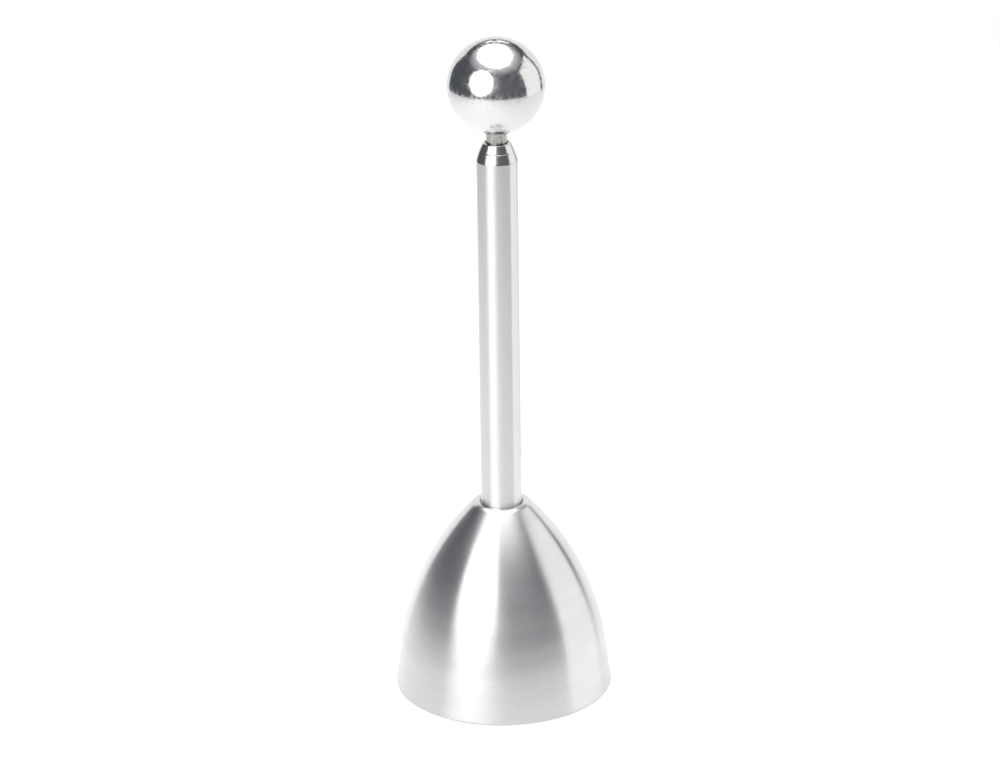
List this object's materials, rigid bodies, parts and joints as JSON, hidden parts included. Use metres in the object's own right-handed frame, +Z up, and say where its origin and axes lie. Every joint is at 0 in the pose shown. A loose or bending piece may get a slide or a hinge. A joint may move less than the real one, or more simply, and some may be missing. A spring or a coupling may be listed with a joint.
{
  "type": "spring loaded egg topper",
  "caption": "Steel egg topper: a bell on a slim tube with a sprung pull rod and a ball knob; the striker snaps down and its shock scores the shell in a ring.",
  "frame": {"origin": "centre of the bell's rim, in the plane that the tool stands on", "axes": "+Z up the tool's axis from the bell's rim to the ball knob; X and Y are free, because the tool is turned about Z"},
  "size_m": [0.0426, 0.0426, 0.1325],
  "materials": {
    "polished_steel": "polished",
    "drawn_steel": "satin",
    "satin_steel": "satin",
    "brushed_steel": "satin",
    "turned_steel": "satin",
    "spring_steel": "satin",
    "washer_steel": "satin",
    "screw_steel": "gloss"
  },
  "bodies": {
    "casing": {"bell": "brushed_steel", "handle_tube": "satin_steel", "nose_bush": "polished_steel", "anvil_plug": "turned_steel", "clamp_washer": "washer_steel", "lock_washer": "spring_steel", "clamp_screw": "screw_steel", "upper_spring_washer": "washer_steel", "main_spring": "spring_steel"},
    "spring_seat": {"lower_spring_washer": "washer_steel"},
    "plunger": {"ball_knob": "polished_steel", "pull_rod": "drawn_steel", "striker": "turned_steel"}
  },
  "joints": [
    {"name": "pull_slide", "type": "slide", "parent": "casing", "child": "spring_seat", "axis": [0, 0, 1], "range_m": [0, 0.018], "stiffness_N_per_m": 750, "springref_m": -0.006, "deforming": ["main_spring"]},
    {"name": "knob_spin", "type": "hinge", "parent": "spring_seat", "child": "plunger", "pos_m": [0, 0, 0], "axis": [0, 0, 1], "continuous": true}
  ]
}
